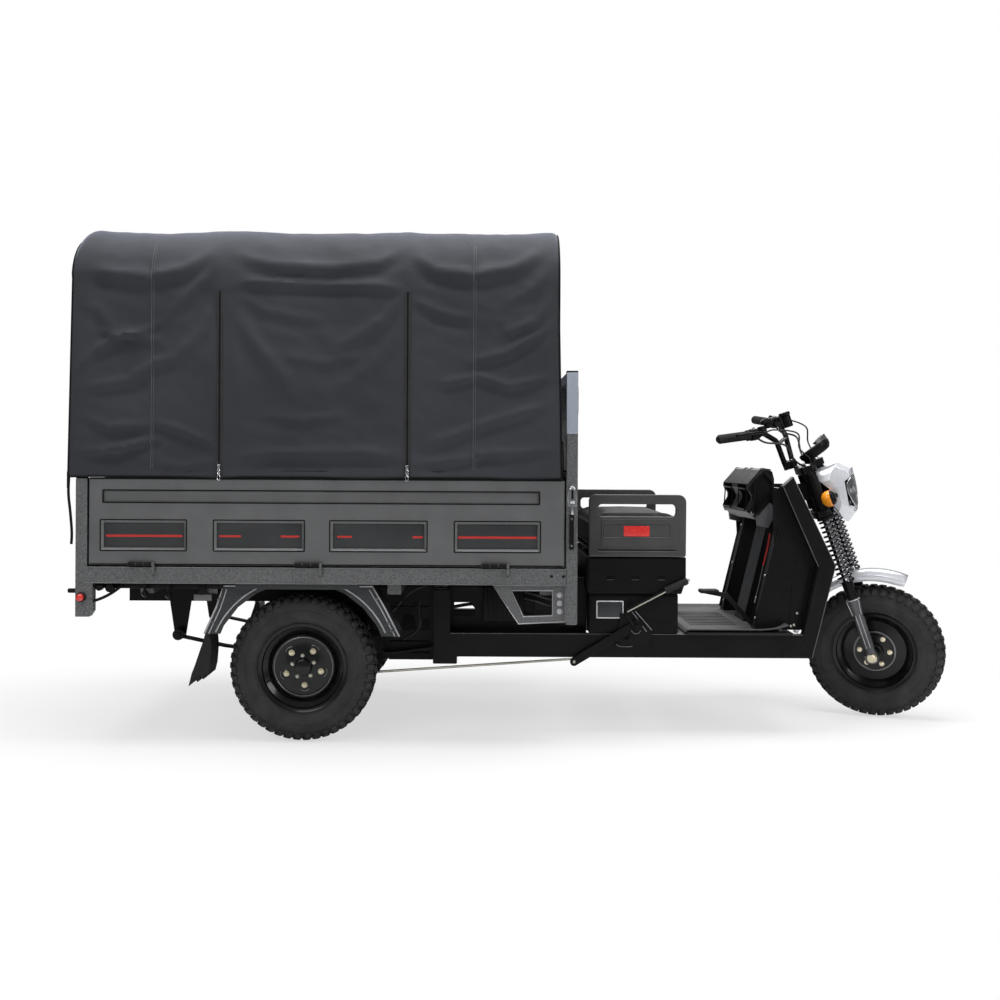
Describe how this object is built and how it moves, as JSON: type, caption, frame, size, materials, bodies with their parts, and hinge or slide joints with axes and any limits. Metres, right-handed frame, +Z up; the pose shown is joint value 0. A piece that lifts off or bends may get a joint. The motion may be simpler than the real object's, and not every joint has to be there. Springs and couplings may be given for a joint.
{
  "type": "electric cargo tricycle",
  "caption": "Electric cargo tricycle with drop-side bed, fabric canopy on bows, bench seat, leg shield and sprung front fork, handlebar turned right.",
  "frame": {"origin": "on the floor under the middle of the machine's outline", "axes": "+X forward, the way it drives; +Y to its left; +Z up"},
  "size_m": [3.4288, 1.3726, 1.943],
  "materials": {
    "frame_black": "semi-gloss",
    "bed_grey": "hammered",
    "canvas": "matte",
    "rubber": "matte",
    "tyre": "matte",
    "plastic": "satin",
    "rim_black": "gloss",
    "chrome": "gloss",
    "silver": "metallic gloss",
    "lens": "clear",
    "red": "gloss",
    "amber": "gloss",
    "cushion": "satin"
  },
  "bodies": {
    "chassis": {"side_frame_left": "frame_black", "side_frame_right": "frame_black", "chassis_ladder": "frame_black", "steering_head": "frame_black", "rear_axle": "frame_black", "bed_frame": "bed_grey", "rear_sill": "bed_grey", "sill_left": "bed_grey", "sill_right": "bed_grey", "headboard": "bed_grey", "backrest_pad": "cushion", "canopy": "canvas", "canopy_bow_rear": "frame_black", "canopy_bow_mid_rear": "frame_black", "canopy_bow_mid_front": "frame_black", "canopy_bow_front": "frame_black", "canopy_rail_left": "frame_black", "canopy_rail_right": "frame_black", "battery_box": "frame_black", "seat_housing": "plastic", "armrest_left": "bed_grey", "armrest_right": "bed_grey", "footboard": "rubber", "legshield": "plastic", "storage_box": "plastic", "mudguard_left": "bed_grey", "mudguard_right": "bed_grey", "mud_flap_left": "rubber", "mud_flap_right": "rubber", "side_step_left": "bed_grey", "side_step_right": "bed_grey", "tail_lamp_left": "red", "tail_lamp_right": "red", "hand_brake": "frame_black", "brake_pedal": "rubber"},
    "steering": {"fork": "chrome", "coil_spring_left": "chrome", "coil_spring_right": "chrome", "handlebar": "frame_black", "grip_left": "rubber", "grip_right": "rubber", "gauge": "plastic", "headlamp_cowl": "silver", "headlamp_lens": "lens", "indicator_left": "amber", "indicator_right": "amber", "front_fender": "silver"},
    "front_wheel": {"front_tyre": "tyre", "front_rim": "rim_black"},
    "rear_wheel_left": {"rear_left_tyre": "tyre", "rear_left_rim": "rim_black"},
    "rear_wheel_right": {"rear_right_tyre": "tyre", "rear_right_rim": "rim_black"},
    "drop_side_left": {"side_gate_left": "bed_grey"},
    "drop_side_right": {"side_gate_right": "bed_grey"},
    "tailgate_panel": {"tailgate": "bed_grey"},
    "seat": {"seat_lid": "frame_black", "seat_cushion": "cushion"}
  },
  "joints": [
    {"name": "steering_turn", "type": "hinge", "parent": "chassis", "child": "steering", "pos_m": [1.40934, 0, 0.26522], "axis": [-0.3256, 0, 0.9455], "range_deg": [-16, 64]},
    {"name": "front_wheel_spin", "type": "hinge", "parent": "steering", "child": "front_wheel", "pos_m": [1.44649, -0.01749, 0.27801], "axis": [0.3846, 0.9135, 0.1324], "continuous": true},
    {"name": "rear_wheel_left_spin", "type": "hinge", "parent": "chassis", "child": "rear_wheel_left", "pos_m": [-0.866, 0.5, 0.278], "axis": [0, 1, 0], "continuous": true},
    {"name": "rear_wheel_right_spin", "type": "hinge", "parent": "chassis", "child": "rear_wheel_right", "pos_m": [-0.866, -0.5, 0.278], "axis": [0, 1, 0], "continuous": true},
    {"name": "drop_side_left_hinge", "type": "hinge", "parent": "chassis", "child": "drop_side_left", "pos_m": [0, 0.672, 0.675], "axis": [-1, 0, 0], "range_deg": [0, 175]},
    {"name": "drop_side_right_hinge", "type": "hinge", "parent": "chassis", "child": "drop_side_right", "pos_m": [0, -0.672, 0.675], "axis": [1, 0, 0], "range_deg": [0, 175]},
    {"name": "tailgate_hinge", "type": "hinge", "parent": "chassis", "child": "tailgate_panel", "pos_m": [-1.693, 0, 0.675], "axis": [0, -1, 0], "range_deg": [0, 175]},
    {"name": "seat_hinge", "type": "hinge", "parent": "chassis", "child": "seat", "pos_m": [0.587, 0, 0.706], "axis": [0, 1, 0], "range_deg": [0, 75]}
  ]
}
